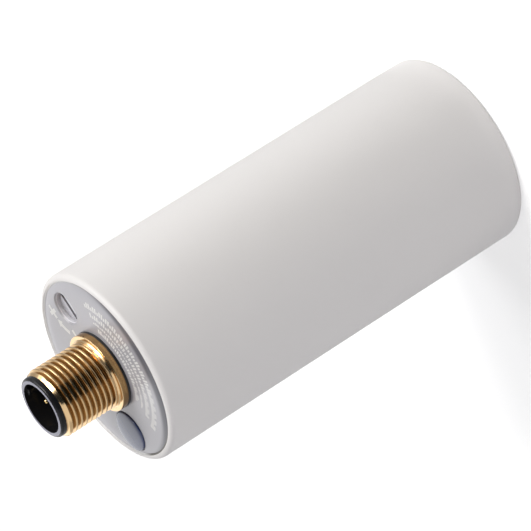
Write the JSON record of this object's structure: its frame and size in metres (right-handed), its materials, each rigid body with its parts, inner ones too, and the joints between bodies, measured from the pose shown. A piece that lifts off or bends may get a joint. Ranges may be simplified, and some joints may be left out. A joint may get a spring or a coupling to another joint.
{
  "type": "capacitive sensor",
  "caption": "Capacitive proximity sensor: smooth white plastic barrel, grey end cap with status window and adjusting screw, gold-plated threaded plug connector.",
  "frame": {"origin": "centre of the sensing face, on which the sensor stands", "axes": "+Z along the barrel towards the connector, +X from the axis towards the adjusting screw"},
  "size_m": [0.034, 0.034, 0.0872],
  "materials": {
    "white_plastic": "smooth moulded white plastic, satin",
    "grey_plastic": "light grey moulded plastic, satin",
    "seal_rubber": "black seal rubber",
    "gold_plated_brass": "bright gold plating on turned brass",
    "nickel_brass": "nickel-plated turned brass, dull",
    "nickel_steel": "nickel-plated sheet and turned steel",
    "black_plastic": "black moulded plastic",
    "smoky_plastic": "smoky translucent moulded plastic, glossy",
    "board_laminate": "green glass-fibre laminate",
    "blue_plastic": "blue moulded trimmer case",
    "green_lens": "green tinted lamp",
    "yellow_lens": "yellow tinted lamp",
    "tan_ceramic": "tan ceramic and epoxy",
    "copper_foil": "bare copper foil"
  },
  "bodies": {
    "sensor": {"housing": "white_plastic", "end_cap": "grey_plastic", "cap_seal": "seal_rubber", "connector_shell": "gold_plated_brass", "connector_gasket": "seal_rubber", "connector_nut": "nickel_steel", "connector_insert": "black_plastic", "insert_seal": "seal_rubber", "contact_pin_1": "gold_plated_brass", "contact_pin_2": "gold_plated_brass", "contact_pin_3": "gold_plated_brass", "contact_pin_4": "gold_plated_brass", "contact_board": "board_laminate", "status_window": "smoky_plastic", "window_gasket": "seal_rubber", "screw_seal": "seal_rubber", "circuit_board": "board_laminate", "trimmer": "blue_plastic", "light_green": "green_lens", "light_yellow": "yellow_lens", "oscillator_chip": "black_plastic", "control_chip": "black_plastic", "output_transistor": "black_plastic", "voltage_regulator": "black_plastic", "protection_diode": "black_plastic", "buffer_capacitor": "tan_ceramic", "small_capacitors": "tan_ceramic", "small_resistors": "black_plastic", "sensing_electrode": "copper_foil", "guard_ring": "copper_foil", "electrode_carrier": "board_laminate", "electrode_pin": "gold_plated_brass", "guard_pin": "gold_plated_brass", "screening_can": "nickel_steel"},
    "screw": {"adjusting_screw": "nickel_brass"}
  },
  "joints": [
    {"name": "adjusting_screw_turn", "type": "hinge", "parent": "sensor", "child": "screw", "pos_m": [0.0114, 0, 0.0737], "axis": [0, 0, 1], "continuous": true}
  ]
}
